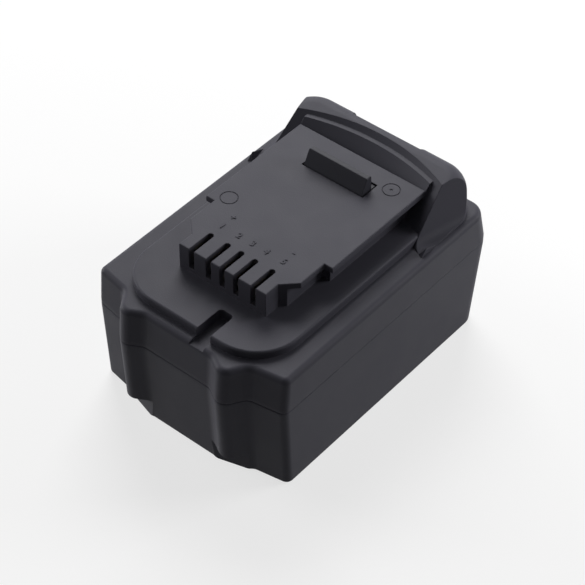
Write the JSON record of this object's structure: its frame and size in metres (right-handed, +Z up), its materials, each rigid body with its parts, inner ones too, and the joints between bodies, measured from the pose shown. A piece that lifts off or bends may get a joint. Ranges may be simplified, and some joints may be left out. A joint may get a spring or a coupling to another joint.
{
  "type": "power tool battery pack",
  "caption": "Slide-on rechargeable battery pack for a cordless tool, with a railed terminal tower, a sprung latch and a release button.",
  "frame": {"origin": "middle of the outline seen from above, on the surface that the pack stands on", "axes": "+X across the pack to its right seen from the terminal end, +Y towards the release button, +Z up from the base to the terminal tower"},
  "size_m": [0.079, 0.1168, 0.0662],
  "materials": {
    "case_plastic": "fine matte texture, charcoal",
    "latch_plastic": "smooth matt black moulding",
    "spring_steel": "drawn spring wire",
    "holder_plastic": "moulded dark grey",
    "cell_sleeve": "shrink sleeve, blue",
    "nickel": "rolled nickel sheet",
    "contact_brass": "plated brass spring sheet",
    "board": "green lacquered laminate",
    "block_plastic": "black moulding",
    "component_black": "moulded black epoxy",
    "component_ceramic": "ceramic body",
    "foam": "closed cell foam",
    "insulating_paper": "pressed insulating paper",
    "screw_steel": "dark zinc plated steel"
  },
  "bodies": {
    "pack": {"board_screws": "screw_steel", "case_screws": "screw_steel", "cell_1": "cell_sleeve", "cell_10": "cell_sleeve", "cell_2": "cell_sleeve", "cell_3": "cell_sleeve", "cell_4": "cell_sleeve", "cell_5": "cell_sleeve", "cell_6": "cell_sleeve", "cell_7": "cell_sleeve", "cell_8": "cell_sleeve", "cell_9": "cell_sleeve", "cell_holder_left": "holder_plastic", "cell_holder_right": "holder_plastic", "chip_capacitors": "component_ceramic", "circuit_board": "board", "contact_1": "contact_brass", "contact_2": "contact_brass", "contact_3": "contact_brass", "contact_4": "contact_brass", "contact_5": "contact_brass", "control_chip": "component_black", "front_foam_pad": "foam", "fuse": "component_ceramic", "insulating_sheet_left": "insulating_paper", "insulating_sheet_right": "insulating_paper", "latch_springs": "spring_steel", "lower_case": "case_plastic", "nickel_strap_1": "nickel", "nickel_strap_2": "nickel", "nickel_strap_3": "nickel", "nickel_strap_4": "nickel", "nickel_strap_5": "nickel", "nickel_strap_6": "nickel", "power_transistor_1": "component_black", "power_transistor_2": "component_black", "rear_foam_pad": "foam", "sense_resistors": "component_ceramic", "terminal_block": "block_plastic", "thermistor": "component_black", "upper_case": "case_plastic"},
    "latch_body": {"latch": "latch_plastic", "release_button": "latch_plastic"}
  },
  "joints": [
    {"name": "latch_slide", "type": "slide", "parent": "pack", "child": "latch_body", "axis": [0, 0, -1], "range_m": [0, 0.0054], "stiffness_N_per_m": 900, "springref_m": -0.004, "deforming": ["latch_springs"]}
  ]
}
